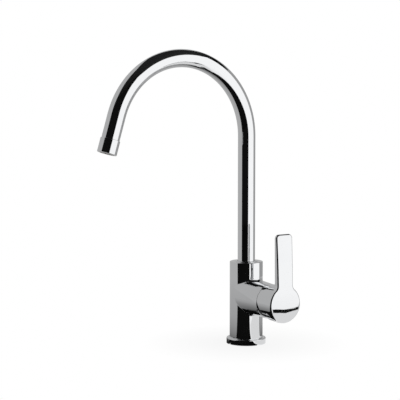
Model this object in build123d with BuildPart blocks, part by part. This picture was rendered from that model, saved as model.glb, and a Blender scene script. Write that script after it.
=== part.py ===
from build123d import *
import math
import os

os.makedirs("parts", exist_ok=True)

# Sizes in millimetres. The worktop is the plane z = 0, the barrel stands on the Z axis,
# the spout reaches along -Y and the lever arm points along +X.

# Barrel and base
BARREL_RADIUS = 21.0
BARREL_ABOVE_ARM = 45.0
BARREL_EDGE = 0.9
BASE_RADIUS = 25.0
BASE_HEIGHT = 7.5
BASE_EDGE = 1.2
BASE_INNER_EDGE = 0.3
FOOT_STEP = 2.0
FOOT_HEIGHT = 5.0
GASKET_WIDTH = 1.8
GASKET_HEIGHT = 1.4
GASKET_INSET = 1.3

# Side arm that holds the cartridge
ARM_ROOT_INSET = 0.4
ARM_END_WALL = 1.37
ARM_AXIS_HEIGHT = 60.0
ARM_END = 51.6
ARM_EDGE = 0.4
ARM_BLEND = 3.0
SHOULDER_BEFORE_END = 1.2
SHOULDER_RISE = 1.6
SHOULDER_CORNER = 9.0
SHOULDER_INSET = 0.3

# Spout
TUBE_RADIUS = 11.0
TUBE_WALL = 1.2
ARC_RADIUS = 96.8
ARC_START_HEIGHT = 264.0
ARC_ANGLE = 163.0
TIP_STRAIGHT = 39.8
SPIGOT_RADIUS = 14.3
SPIGOT_LENGTH = 17.0
SPIGOT_LIP = 1.5
SEAL_GROOVE_DEPTH = 2.3
SEAL_GROOVE_WIDTH = 2.8
SEAL_SECTION_RADIUS = 1.1
SEAL_EDGE_DISTANCE = 3.4
LOCK_GROOVE_DEPTH = 1.6
LOCK_GROOVE_WIDTH = 3.2
THRUST_WASHER = 1.0
BUSH_HEIGHT = 4.1
COLLAR_HEIGHT = 2.6
COLLAR_PROUD = 0.6
COLLAR_EDGE = 0.4
COLLAR_GAP = 0.5

# Outlet at the tip of the spout
OUTLET_RADIUS = 11.95
OUTLET_LENGTH = 17.4
OUTLET_BELOW_TUBE = 7.0
OUTLET_LIP = 1.2
OUTLET_EDGE = 0.5
OUTLET_LIP_RADIUS = 9.3
AERATOR_WASHER_HEIGHT = 1.5
AERATOR_WASHER_BORE = 8.2
AERATOR_WALL = 1.3
AERATOR_LEDGE = 0.9
AERATOR_RIM = 1.2
AERATOR_FLOOR = 2.2
AERATOR_NOSE = 0.8
JET_RADIUS = 0.8
JET_PITCH = 2.3
JET_RINGS = 3
SCREEN_THICKNESS = 0.6
SCREEN_HOLE_RADIUS = 0.65
SCREEN_HOLE_PITCH = 1.9
SCREEN_RINGS = 4

# Lever: a hub that carries the arm on, and a flat upright blade at its front
HUB_RIM_STEP = 0.2
HUB_GROWTH = 1.25
HUB_FRONT = 83.0
HUB_WALL = 4.5
HUB_FRONT_WALL = 5.0
HUB_EDGE = 0.8
SEAM_GAP = 0.4
FRONT_EDGE = 2.4
RIM_EDGE = 0.5
FRONT_FLAT_HALF = 4.0
FRONT_FALL = 1.8
FRONT_LEAN = 3.2
BLADE_HALF_WIDTH_TOP = 12.4
BLADE_HALF_WIDTH_ROOT = 11.5
BLADE_TOP = 86.5
BLADE_THICK_TOP = 7.2
BLADE_THICK_ROOT = 7.3
BLADE_CORNER = 5.0
BLADE_ROOT_FILLET = 8.0
LEVER_TILT = 25.0
HEEL_MARGIN = 1.5
HEEL_RISE = 2.5

# Dome in the end of the arm, round the lever's pivot
DOME_RADIUS = 20.2
DOME_GAP = 0.35
DOME_WALL = 1.4
DOME_HOLE_HALF_ANGLE = 39.5
DOME_SKIRT = 3.0

# Cartridge, stacked along the arm from its seat
SEAT = 22.0
CARTRIDGE_RADIUS = 17.5
CARTRIDGE_BASE_HEIGHT = 4.5
FIXED_DISC_HEIGHT = 4.0
MOVING_DISC_HEIGHT = 4.0
MOVING_DISC_RADIUS = 10.4
CARRIER_HEIGHT = 8.2
CARRIER_FLOOR = 2.4
MIXING_WIDTH = 14.0
MIXING_HEIGHT = 7.0
MIXING_CORNER = 3.0
MIXING_DEPTH = 2.0
MIXING_DROP = 4.2
HOUSING_FRONT_WALL = 2.6
NECK_RADIUS = 13.4
NECK_LENGTH = 7.0
GUIDE_RADIUS = 11.0
GUIDE_FLANGE_RADIUS = 13.0
GUIDE_FLANGE_HEIGHT = 0.8
GUIDE_BEYOND_NECK = 1.6
NUT_THREAD_RADIUS = 18.6
NUT_HEIGHT = 5.0
NUT_SLOT_WIDTH = 4.0
NUT_SLOT_DEPTH = 2.0
NUT_SLOTS = 4
SPINDLE_WIDTH = 8.0
SPINDLE_FRONT = 79.5
SPINDLE_BAR_BEHIND_PIVOT = 5.6
SPINDLE_BALL_RADIUS = 3.6
SPINDLE_BALL_TO_PIVOT = 10.6
SPINDLE_NECK_RADIUS = 2.6
SPINDLE_CHAMFER = 0.6
PIVOT_PIN_RADIUS = 1.5
PIVOT_PIN_INSET = 0.5
SLOT_MARGIN = 0.6

# Water ways
INLET_THREAD_RADIUS = 4.5
INLET_THREAD_LENGTH = 14.0
INLET_WAY_RADIUS = 3.2
INLET_OFFSET_X = 4.0
INLET_SPACING = 8.0
INLET_PORT_RADIUS = 2.6
INLET_PORT_SPREAD = 6.0
INLET_PORT_RISE = 4.5
OUTLET_PORT_DROP = 5.0
OUTLET_WAY_RADIUS = 3.6
OUTLET_RISER_X = -6.0
PORT_SEAL_MARGIN = 0.4
PORT_SEAL_WIDTH = 1.3
PORT_SEAL_DEPTH = 1.2

# Screws
STUD_RADIUS = 3.4
STUD_LENGTH = 14.0
STUD_OFFSET_X = -11.0
LOCK_SCREW_RADIUS = 2.0
LOCK_SCREW_TIP_RADIUS = 1.3
LOCK_SCREW_SUNK = 0.6
LEVER_SCREW_RADIUS = 2.0
LEVER_SCREW_LENGTH = 4.2
LEVER_SCREW_POSITION = 75.2
SOCKET_ACROSS_FLATS = 2.0
SOCKET_DEPTH = 1.6
PLUG_RADIUS = 2.6
PLUG_HEIGHT = 2.6
PLUG_SUNK = 0.5
BOSS_RADIUS = 8.5

# Clearances
RUN = 0.05
LOOSE = 0.3
SNUG = 0.03
CUT_BEYOND = 5.0

# Values that follow from the sizes
tilt = math.radians(LEVER_TILT)
bend = math.radians(ARC_ANGLE)
half_spindle = SPINDLE_WIDTH / 2
pivot_x = ARM_END
cup_radius = DOME_RADIUS + DOME_GAP
rim_x = ARM_END + SEAM_GAP
heel_slope = math.tan(math.radians(LEVER_TILT + HEEL_MARGIN))
hole_angle = math.radians(DOME_HOLE_HALF_ANGLE)
dome_hole = DOME_RADIUS * math.sin(hole_angle)
dome_start_x = ARM_END - DOME_SKIRT
cup_front_x = HUB_FRONT - HUB_FRONT_WALL

base_end_x = SEAT + CARTRIDGE_BASE_HEIGHT
fixed_end_x = base_end_x + FIXED_DISC_HEIGHT
moving_x = fixed_end_x + SNUG
moving_end_x = moving_x + MOVING_DISC_HEIGHT
carrier_end_x = moving_end_x + CARRIER_HEIGHT
flange_x = carrier_end_x + LOOSE
wall_x = flange_x + GUIDE_FLANGE_HEIGHT + RUN
shoulder_x = wall_x + HOUSING_FRONT_WALL
neck_end_x = shoulder_x + NECK_LENGTH
guide_end_x = neck_end_x + GUIDE_BEYOND_NECK
nut_end_x = shoulder_x + NUT_HEIGHT
ball_x = pivot_x - SPINDLE_BALL_TO_PIVOT
bar_x = pivot_x - SPINDLE_BAR_BEHIND_PIVOT
disc_travel = SPINDLE_BALL_TO_PIVOT * math.sin(tilt)
cavity_radius = MOVING_DISC_RADIUS + disc_travel + LOOSE
fixed_disc_radius = cavity_radius - SNUG
arm_bore = CARTRIDGE_RADIUS + RUN
slot_front = (guide_end_x - pivot_x) * math.tan(tilt) + half_spindle / math.cos(tilt)
slot_rear = disc_travel + SPINDLE_BALL_RADIUS
slot_height = 2 * (max(slot_front, slot_rear) + SLOT_MARGIN)

foot_radius = BARREL_RADIUS - FOOT_STEP
arm_root_radius = BARREL_RADIUS - ARM_ROOT_INSET
arm_end_radius = DOME_RADIUS + SNUG + ARM_END_WALL
arm_growth = (arm_end_radius - arm_root_radius) / ARM_END
shoulder_end_x = ARM_END - SHOULDER_BEFORE_END
shoulder_end = arm_root_radius + arm_growth * shoulder_end_x - SNUG
shoulder_half_width = BARREL_RADIUS - SHOULDER_INSET
shoulder_height = arm_root_radius + SHOULDER_RISE
hub_rim_radius = arm_end_radius + HUB_RIM_STEP
hub_radius = hub_rim_radius + HUB_GROWTH
barrel_top = ARM_AXIS_HEIGHT + BARREL_ABOVE_ARM
collar_z = barrel_top + COLLAR_PROUD - COLLAR_HEIGHT
bush_z = collar_z - BUSH_HEIGHT
spigot_top_z = bush_z - LOOSE
spigot_z = spigot_top_z - SPIGOT_LENGTH
washer_z = spigot_z - SNUG - THRUST_WASHER
tube_z = spigot_z + SPIGOT_LIP
spout_bore = SPIGOT_RADIUS + RUN
tube_bore = TUBE_RADIUS - TUBE_WALL
lock_z = spigot_z + SPIGOT_LENGTH / 2
seal_heights = [spigot_z + SEAL_EDGE_DISTANCE, spigot_top_z - SEAL_EDGE_DISTANCE]
inlet_port_z = ARM_AXIS_HEIGHT + INLET_PORT_RISE
outlet_port_z = ARM_AXIS_HEIGHT - OUTLET_PORT_DROP
inlet_ports = [(-INLET_PORT_SPREAD, INLET_PORT_RISE), (INLET_PORT_SPREAD, INLET_PORT_RISE)]
outlet_ports = [(0, -OUTLET_PORT_DROP)]

arc_end_y = ARC_RADIUS * (math.cos(bend) - 1)
arc_end_z = ARC_START_HEIGHT + ARC_RADIUS * math.sin(bend)
tip_direction = (0, -math.sin(bend), math.cos(bend))
outlet_end = TIP_STRAIGHT + OUTLET_BELOW_TUBE
outlet_start = outlet_end - OUTLET_LENGTH
lip_at = outlet_end - OUTLET_LIP
washer_end = TIP_STRAIGHT + AERATOR_WASHER_HEIGHT
screen_end = washer_end + AERATOR_RIM + SCREEN_THICKNESS
insert_radius = TUBE_RADIUS - SNUG
insert_bore = insert_radius - AERATOR_WALL

blade_back_root = HUB_FRONT - BLADE_THICK_ROOT
blade_back_top = HUB_FRONT - BLADE_THICK_TOP
plug_top = hub_radius - PLUG_SUNK - PLUG_HEIGHT

arm_axis = Axis((0, 0, ARM_AXIS_HEIGHT), (1, 0, 0))
arm_plane = Plane(origin=(0, 0, ARM_AXIS_HEIGHT), x_dir=(0, 1, 0), z_dir=(1, 0, 0))
arm_side = Plane(origin=(0, 0, ARM_AXIS_HEIGHT), x_dir=(1, 0, 0), z_dir=(0, -1, 0))
back_plane = Plane(origin=(0, 0, lock_z), x_dir=(-1, 0, 0), z_dir=(0, 1, 0))
tip_plane = Plane(origin=(0, arc_end_y, arc_end_z), x_dir=(1, 0, 0), z_dir=tip_direction)
pivot_plane = Plane(
    origin=(pivot_x, 0, ARM_AXIS_HEIGHT), x_dir=(-1, 0, 0), z_dir=(0, 1, 0)
)
lever_screw_plane = Plane(
    origin=(LEVER_SCREW_POSITION, 0, ARM_AXIS_HEIGHT), x_dir=(1, 0, 0), z_dir=(0, 0, -1)
)


def on_sphere(radius, angle):
    """Point of the side view at this distance and angle from the pivot."""
    return (pivot_x + radius * math.cos(angle), radius * math.sin(angle))


def ring_places(pitch, rings):
    """Centre point and rings of six, twelve, eighteen and so on."""
    places = [(0, 0)]
    for ring in range(1, rings + 1):
        for step in range(6 * ring):
            turn = 2 * math.pi * step / (6 * ring)
            places.append((ring * pitch * math.cos(turn), ring * pitch * math.sin(turn)))
    return places


def edges_on_barrel(blank):
    """Edges where the arm or its shoulder leaves the round of the barrel."""
    chosen = []
    for edge in blank.edges().filter_by(GeomType.BSPLINE):
        middle = edge.position_at(0.5)
        if abs(math.hypot(middle.X, middle.Y) - BARREL_RADIUS) < SNUG:
            chosen.append(edge)
    return chosen


# Blank for the body casting: the barrel with the arm standing out of it
with BuildPart() as body_blank:
    with BuildSketch(Plane.XY.offset(FOOT_HEIGHT)):
        Circle(BARREL_RADIUS)
    extrude(amount=barrel_top - FOOT_HEIGHT)
    with BuildSketch(arm_side):
        Polygon(
            (0, 0),
            (0, arm_root_radius),
            (ARM_END, arm_end_radius),
            (ARM_END, 0),
            align=None,
        )
    revolve(axis=arm_axis)

# Shoulder on top of the arm: square where it leaves the barrel, round where it meets the arm
with BuildPart() as shoulder:
    with BuildSketch(arm_plane):
        RectangleRounded(2 * shoulder_half_width, 2 * shoulder_height, SHOULDER_CORNER)
    with BuildSketch(arm_plane.offset(shoulder_end_x)):
        RectangleRounded(2 * shoulder_end, 2 * shoulder_end, shoulder_end - SNUG)
    loft()

# Only the half above the arm's axis has the shoulder, and each half is blended into the barrel
arm_level = Plane.XY.offset(ARM_AXIS_HEIGHT)
with BuildPart() as blank_above:
    add(body_blank.part)
    add(shoulder.part)
    split(bisect_by=arm_level, keep=Keep.TOP)
    fillet(edges_on_barrel(blank_above), radius=ARM_BLEND)

with BuildPart() as blank_below:
    add(body_blank.part)
    split(bisect_by=arm_level, keep=Keep.BOTTOM)
    fillet(edges_on_barrel(blank_below), radius=ARM_BLEND)

# Body casting: barrel, arm and the water ways
with BuildPart() as body_casting:
    add(blank_above.part)
    add(blank_below.part)
    fillet(body_casting.edges().sort_by(Axis.Z)[-1:], radius=BARREL_EDGE)
    fillet(body_casting.edges().sort_by(Axis.X)[-1:], radius=ARM_EDGE)
    with BuildSketch(Plane.XY):
        Circle(foot_radius)
    extrude(amount=FOOT_HEIGHT)
    with BuildSketch(Plane.XY.offset(washer_z)):
        Circle(spout_bore)
    extrude(amount=barrel_top, mode=Mode.SUBTRACT)
    with BuildSketch(arm_plane.offset(SEAT)):
        Circle(arm_bore)
    extrude(amount=shoulder_x - SEAT, mode=Mode.SUBTRACT)
    with BuildSketch(arm_plane.offset(shoulder_x)):
        Circle(NUT_THREAD_RADIUS + SNUG)
    extrude(amount=dome_start_x - shoulder_x, mode=Mode.SUBTRACT)
    with BuildSketch(arm_plane.offset(dome_start_x)):
        Circle(DOME_RADIUS + SNUG)
    extrude(amount=DOME_SKIRT, mode=Mode.SUBTRACT)
    with BuildSketch(Plane.XY):
        with Locations((INLET_OFFSET_X, -INLET_SPACING), (INLET_OFFSET_X, INLET_SPACING)):
            Circle(INLET_THREAD_RADIUS)
    extrude(amount=INLET_THREAD_LENGTH, mode=Mode.SUBTRACT)
    with BuildSketch(Plane.XY):
        with Locations((INLET_OFFSET_X, -INLET_SPACING), (INLET_OFFSET_X, INLET_SPACING)):
            Circle(INLET_WAY_RADIUS)
    extrude(amount=inlet_port_z + INLET_PORT_RADIUS, mode=Mode.SUBTRACT)
    with BuildSketch(arm_plane.offset(INLET_OFFSET_X)):
        with Locations(*inlet_ports):
            Circle(INLET_PORT_RADIUS)
    extrude(amount=SEAT - INLET_OFFSET_X, mode=Mode.SUBTRACT)
    with BuildSketch(arm_plane.offset(OUTLET_RISER_X)):
        with Locations(*outlet_ports):
            Circle(OUTLET_WAY_RADIUS)
    extrude(amount=SEAT - OUTLET_RISER_X, mode=Mode.SUBTRACT)
    with BuildSketch(Plane.XY.offset(outlet_port_z)):
        with Locations((OUTLET_RISER_X, 0)):
            Circle(OUTLET_WAY_RADIUS)
    extrude(amount=washer_z - outlet_port_z, mode=Mode.SUBTRACT)
    with BuildSketch(Plane.XY):
        with Locations((STUD_OFFSET_X, 0)):
            Circle(STUD_RADIUS)
    extrude(amount=STUD_LENGTH, mode=Mode.SUBTRACT)
    with BuildSketch(back_plane):
        Circle(LOCK_SCREW_RADIUS + SNUG)
    extrude(amount=BARREL_RADIUS + CUT_BEYOND, mode=Mode.SUBTRACT)
body_casting.part.label = "body_casting"
export_step(body_casting.part, "parts/body_casting.step")

# Base ring around the foot, with a groove for its gasket
gasket_outer = BASE_RADIUS - GASKET_INSET
with BuildPart() as base_ring:
    with BuildSketch(Plane.XY):
        Circle(BASE_RADIUS)
        Circle(foot_radius + RUN, mode=Mode.SUBTRACT)
    extrude(amount=BASE_HEIGHT)
    with BuildSketch(Plane.XY.offset(FOOT_HEIGHT)):
        Circle(BARREL_RADIUS + RUN)
    extrude(amount=BASE_HEIGHT, mode=Mode.SUBTRACT)
    top_edges = base_ring.edges().filter_by(GeomType.CIRCLE).group_by(Axis.Z)[-1]
    fillet(top_edges.sort_by(SortBy.RADIUS)[-1:], radius=BASE_EDGE)
    top_edges = base_ring.edges().filter_by(GeomType.CIRCLE).group_by(Axis.Z)[-1]
    chamfer(top_edges.sort_by(SortBy.RADIUS)[:1], length=BASE_INNER_EDGE)
    with BuildSketch(Plane.XY):
        Circle(gasket_outer)
        Circle(gasket_outer - GASKET_WIDTH, mode=Mode.SUBTRACT)
    extrude(amount=GASKET_HEIGHT, mode=Mode.SUBTRACT)
base_ring.part.label = "base_ring"
export_step(base_ring.part, "parts/base_ring.step")

with BuildPart() as base_gasket:
    with BuildSketch(Plane.XY):
        Circle(gasket_outer - SNUG)
        Circle(gasket_outer - GASKET_WIDTH + SNUG, mode=Mode.SUBTRACT)
    extrude(amount=GASKET_HEIGHT)
base_gasket.part.label = "base_gasket"
export_step(base_gasket.part, "parts/base_gasket.step")

# Pieces that hold the swivelling spout in the barrel
with BuildPart() as thrust_washer:
    with BuildSketch(Plane.XY.offset(washer_z)):
        Circle(SPIGOT_RADIUS)
        Circle(tube_bore, mode=Mode.SUBTRACT)
    extrude(amount=THRUST_WASHER)
thrust_washer.part.label = "spout_thrust_washer"
export_step(thrust_washer.part, "parts/spout_thrust_washer.step")

with BuildPart() as guide_bush:
    with BuildSketch(Plane.XY.offset(bush_z)):
        Circle(spout_bore - SNUG)
        Circle(TUBE_RADIUS + RUN, mode=Mode.SUBTRACT)
    extrude(amount=BUSH_HEIGHT)
guide_bush.part.label = "spout_guide_bush"
export_step(guide_bush.part, "parts/spout_guide_bush.step")

with BuildPart() as collar:
    with BuildSketch(Plane.XY.offset(collar_z)):
        Circle(spout_bore - SNUG)
        Circle(TUBE_RADIUS + COLLAR_GAP, mode=Mode.SUBTRACT)
    extrude(amount=COLLAR_HEIGHT)
    fillet(collar.edges().filter_by(GeomType.CIRCLE).group_by(Axis.Z)[-1], radius=COLLAR_EDGE)
collar.part.label = "spout_collar"
export_step(collar.part, "parts/spout_collar.step")

lock_start = SPIGOT_RADIUS + LOOSE
lock_end = BARREL_RADIUS - LOCK_SCREW_SUNK
lock_tip = SPIGOT_RADIUS - LOCK_GROOVE_DEPTH + LOOSE
with BuildPart() as lock_screw:
    with BuildSketch(back_plane.offset(lock_start)):
        Circle(LOCK_SCREW_RADIUS)
    extrude(amount=lock_end - lock_start)
    with BuildSketch(back_plane.offset(lock_tip)):
        Circle(LOCK_SCREW_TIP_RADIUS)
    extrude(amount=lock_start - lock_tip)
    with BuildSketch(back_plane.offset(lock_end - SOCKET_DEPTH)):
        RegularPolygon(SOCKET_ACROSS_FLATS / 2, 6, major_radius=False)
    extrude(amount=SOCKET_DEPTH, mode=Mode.SUBTRACT)
lock_screw.part.label = "spout_lock_screw"
export_step(lock_screw.part, "parts/spout_lock_screw.step")

# Cartridge: base with its port seals, fixed disc, housing and nut
with BuildPart() as cartridge_base:
    with BuildSketch(arm_plane.offset(SEAT)):
        Circle(CARTRIDGE_RADIUS)
        with Locations(*inlet_ports):
            Circle(INLET_PORT_RADIUS, mode=Mode.SUBTRACT)
        with Locations(*outlet_ports):
            Circle(OUTLET_WAY_RADIUS, mode=Mode.SUBTRACT)
    extrude(amount=CARTRIDGE_BASE_HEIGHT)
    with BuildSketch(arm_plane.offset(SEAT)):
        with Locations(*inlet_ports):
            Circle(INLET_PORT_RADIUS + PORT_SEAL_MARGIN + PORT_SEAL_WIDTH)
        with Locations(*outlet_ports):
            Circle(OUTLET_WAY_RADIUS + PORT_SEAL_MARGIN + PORT_SEAL_WIDTH)
        with Locations(*inlet_ports):
            Circle(INLET_PORT_RADIUS + PORT_SEAL_MARGIN, mode=Mode.SUBTRACT)
        with Locations(*outlet_ports):
            Circle(OUTLET_WAY_RADIUS + PORT_SEAL_MARGIN, mode=Mode.SUBTRACT)
    extrude(amount=PORT_SEAL_DEPTH, mode=Mode.SUBTRACT)
cartridge_base.part.label = "cartridge_base"
export_step(cartridge_base.part, "parts/cartridge_base.step")

with BuildPart() as port_seals:
    with BuildSketch(arm_plane.offset(SEAT)):
        with Locations(*inlet_ports):
            Circle(INLET_PORT_RADIUS + PORT_SEAL_MARGIN + PORT_SEAL_WIDTH - SNUG)
        with Locations(*outlet_ports):
            Circle(OUTLET_WAY_RADIUS + PORT_SEAL_MARGIN + PORT_SEAL_WIDTH - SNUG)
        with Locations(*inlet_ports):
            Circle(INLET_PORT_RADIUS + PORT_SEAL_MARGIN + SNUG, mode=Mode.SUBTRACT)
        with Locations(*outlet_ports):
            Circle(OUTLET_WAY_RADIUS + PORT_SEAL_MARGIN + SNUG, mode=Mode.SUBTRACT)
    extrude(amount=PORT_SEAL_DEPTH)
port_seals.part.label = "port_seals"
export_step(port_seals.part, "parts/port_seals.step")

with BuildPart() as fixed_disc:
    with BuildSketch(arm_plane.offset(base_end_x)):
        Circle(fixed_disc_radius)
        with Locations(*inlet_ports):
            Circle(INLET_PORT_RADIUS, mode=Mode.SUBTRACT)
        with Locations(*outlet_ports):
            Circle(OUTLET_WAY_RADIUS, mode=Mode.SUBTRACT)
    extrude(amount=FIXED_DISC_HEIGHT)
fixed_disc.part.label = "fixed_ceramic_disc"
export_step(fixed_disc.part, "parts/fixed_ceramic_disc.step")

with BuildPart() as housing:
    with BuildSketch(arm_plane.offset(base_end_x)):
        Circle(CARTRIDGE_RADIUS)
    extrude(amount=shoulder_x - base_end_x)
    with BuildSketch(arm_plane.offset(shoulder_x)):
        Circle(NECK_RADIUS)
    extrude(amount=NECK_LENGTH)
    with BuildSketch(arm_plane.offset(base_end_x)):
        Circle(cavity_radius)
    extrude(amount=wall_x - base_end_x, mode=Mode.SUBTRACT)
    with BuildSketch(arm_plane.offset(wall_x)):
        Circle(GUIDE_RADIUS + RUN)
    extrude(amount=neck_end_x - wall_x, mode=Mode.SUBTRACT)
housing.part.label = "cartridge_housing"
export_step(housing.part, "parts/cartridge_housing.step")

with BuildPart() as cartridge_nut:
    with BuildSketch(arm_plane.offset(shoulder_x)):
        Circle(NUT_THREAD_RADIUS)
        Circle(NECK_RADIUS + LOOSE, mode=Mode.SUBTRACT)
    extrude(amount=NUT_HEIGHT)
    with BuildSketch(arm_plane.offset(nut_end_x - NUT_SLOT_DEPTH)):
        with PolarLocations(NUT_THREAD_RADIUS, NUT_SLOTS):
            Rectangle(NUT_THREAD_RADIUS, NUT_SLOT_WIDTH)
    extrude(amount=NUT_SLOT_DEPTH, mode=Mode.SUBTRACT)
cartridge_nut.part.label = "cartridge_nut"
export_step(cartridge_nut.part, "parts/cartridge_nut.step")

# Dome in the end of the arm: a part of a ball about the lever's pivot
dome_inner = DOME_RADIUS - DOME_WALL
inner_hole_angle = math.asin(dome_hole / dome_inner)
quarter = math.pi / 2
with BuildPart() as dome:
    with BuildSketch(arm_side):
        with BuildLine():
            Line((dome_start_x, dome_inner), (dome_start_x, DOME_RADIUS))
            Line((dome_start_x, DOME_RADIUS), on_sphere(DOME_RADIUS, quarter))
            ThreePointArc(
                on_sphere(DOME_RADIUS, quarter),
                on_sphere(DOME_RADIUS, (quarter + hole_angle) / 2),
                on_sphere(DOME_RADIUS, hole_angle),
            )
            Line(on_sphere(DOME_RADIUS, hole_angle), on_sphere(dome_inner, inner_hole_angle))
            ThreePointArc(
                on_sphere(dome_inner, inner_hole_angle),
                on_sphere(dome_inner, (quarter + inner_hole_angle) / 2),
                on_sphere(dome_inner, quarter),
            )
            Line(on_sphere(dome_inner, quarter), (dome_start_x, dome_inner))
        make_face()
    revolve(axis=arm_axis)
dome.part.label = "cartridge_dome"
export_step(dome.part, "parts/cartridge_dome.step")

# Spout: gooseneck tube, spigot with two seals
with BuildPart() as spout_tube:
    with BuildLine(Plane.YZ) as spout_path:
        Line((0, tube_z), (0, ARC_START_HEIGHT))
        CenterArc((-ARC_RADIUS, ARC_START_HEIGHT), ARC_RADIUS, 0, ARC_ANGLE)
        Line(
            (arc_end_y, arc_end_z),
            (
                arc_end_y - TIP_STRAIGHT * math.sin(bend),
                arc_end_z + TIP_STRAIGHT * math.cos(bend),
            ),
        )
    with BuildSketch(Plane.XY.offset(tube_z)):
        Circle(TUBE_RADIUS)
        Circle(tube_bore, mode=Mode.SUBTRACT)
    sweep(path=spout_path.line)
spout_tube.part.label = "spout_tube"
export_step(spout_tube.part, "parts/spout_tube.step")

with BuildPart() as spigot:
    with BuildSketch(Plane.XY.offset(spigot_z)):
        Circle(SPIGOT_RADIUS)
        Circle(tube_bore, mode=Mode.SUBTRACT)
    extrude(amount=SPIGOT_LENGTH)
    with BuildSketch(Plane.XY.offset(tube_z)):
        Circle(TUBE_RADIUS + SNUG)
    extrude(amount=SPIGOT_LENGTH, mode=Mode.SUBTRACT)
    for seal_height in seal_heights:
        with BuildSketch(Plane.XY.offset(seal_height - SEAL_GROOVE_WIDTH / 2)):
            Circle(SPIGOT_RADIUS + CUT_BEYOND)
            Circle(SPIGOT_RADIUS - SEAL_GROOVE_DEPTH, mode=Mode.SUBTRACT)
        extrude(amount=SEAL_GROOVE_WIDTH, mode=Mode.SUBTRACT)
    with BuildSketch(Plane.XY.offset(lock_z - LOCK_GROOVE_WIDTH / 2)):
        Circle(SPIGOT_RADIUS + CUT_BEYOND)
        Circle(SPIGOT_RADIUS - LOCK_GROOVE_DEPTH, mode=Mode.SUBTRACT)
    extrude(amount=LOCK_GROOVE_WIDTH, mode=Mode.SUBTRACT)
spigot.part.label = "spout_spigot"
export_step(spigot.part, "parts/spout_spigot.step")

with BuildPart() as spout_seals:
    with Locations(*[(0, 0, seal_height) for seal_height in seal_heights]):
        Torus(SPIGOT_RADIUS - SEAL_SECTION_RADIUS, SEAL_SECTION_RADIUS)
spout_seals.part.label = "spout_o_rings"
export_step(spout_seals.part, "parts/spout_o_rings.step")

# Outlet: housing over the end of the tube, washer, insert and screen
with BuildPart() as aerator_housing:
    with BuildSketch(tip_plane.offset(outlet_start)):
        Circle(OUTLET_RADIUS)
        Circle(OUTLET_LIP_RADIUS, mode=Mode.SUBTRACT)
    extrude(amount=OUTLET_LENGTH)
    outer_edges = aerator_housing.edges().filter_by(GeomType.CIRCLE).sort_by(SortBy.RADIUS)
    fillet(outer_edges[-2:], radius=OUTLET_EDGE)
    with BuildSketch(tip_plane.offset(outlet_start)):
        Circle(TUBE_RADIUS + SNUG)
    extrude(amount=lip_at - outlet_start, mode=Mode.SUBTRACT)
aerator_housing.part.label = "aerator_housing"
export_step(aerator_housing.part, "parts/aerator_housing.step")

with BuildPart() as aerator_washer:
    with BuildSketch(tip_plane.offset(TIP_STRAIGHT)):
        Circle(insert_radius)
        Circle(AERATOR_WASHER_BORE, mode=Mode.SUBTRACT)
    extrude(amount=AERATOR_WASHER_HEIGHT)
aerator_washer.part.label = "aerator_washer"
export_step(aerator_washer.part, "parts/aerator_washer.step")

floor_start = lip_at + AERATOR_NOSE - AERATOR_FLOOR
with BuildPart() as aerator_insert:
    with BuildSketch(tip_plane.offset(washer_end)):
        Circle(insert_radius)
    extrude(amount=lip_at - washer_end)
    with BuildSketch(tip_plane.offset(lip_at)):
        Circle(OUTLET_LIP_RADIUS - SNUG)
    extrude(amount=AERATOR_NOSE)
    with BuildSketch(tip_plane.offset(washer_end)):
        Circle(insert_bore)
    extrude(amount=screen_end - washer_end, mode=Mode.SUBTRACT)
    with BuildSketch(tip_plane.offset(screen_end)):
        Circle(insert_bore - AERATOR_LEDGE)
    extrude(amount=floor_start - screen_end, mode=Mode.SUBTRACT)
    with BuildSketch(tip_plane.offset(floor_start)):
        with Locations(*ring_places(JET_PITCH, JET_RINGS)):
            Circle(JET_RADIUS)
    extrude(amount=AERATOR_FLOOR, mode=Mode.SUBTRACT)
aerator_insert.part.label = "aerator_insert"
export_step(aerator_insert.part, "parts/aerator_insert.step")

with BuildPart() as aerator_screen:
    with BuildSketch(tip_plane.offset(screen_end - SCREEN_THICKNESS)):
        Circle(insert_bore - SNUG)
        with Locations(*ring_places(SCREEN_HOLE_PITCH, SCREEN_RINGS)):
            Circle(SCREEN_HOLE_RADIUS, mode=Mode.SUBTRACT)
    extrude(amount=SCREEN_THICKNESS)
aerator_screen.part.label = "aerator_screen"
export_step(aerator_screen.part, "parts/aerator_screen.step")

# Spindle guide: turns in the neck of the housing and holds the pivot pin
with BuildPart() as guide:
    with BuildSketch(arm_plane.offset(flange_x)):
        Circle(GUIDE_FLANGE_RADIUS)
    extrude(amount=GUIDE_FLANGE_HEIGHT)
    with BuildSketch(arm_plane.offset(flange_x)):
        Circle(GUIDE_RADIUS)
    extrude(amount=guide_end_x - flange_x)
    with BuildSketch(arm_plane.offset(flange_x)):
        Rectangle(SPINDLE_WIDTH + 2 * LOOSE, slot_height)
    extrude(amount=guide_end_x - flange_x, mode=Mode.SUBTRACT)
    with BuildSketch(pivot_plane):
        Circle(PIVOT_PIN_RADIUS + SNUG)
    extrude(amount=GUIDE_RADIUS, both=True, mode=Mode.SUBTRACT)
guide.part.label = "spindle_guide"
export_step(guide.part, "parts/spindle_guide.step")

with BuildPart() as pivot_pin:
    with BuildSketch(pivot_plane):
        Circle(PIVOT_PIN_RADIUS)
    extrude(amount=GUIDE_RADIUS - PIVOT_PIN_INSET, both=True)
pivot_pin.part.label = "pivot_pin"
export_step(pivot_pin.part, "parts/pivot_pin.step")

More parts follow.
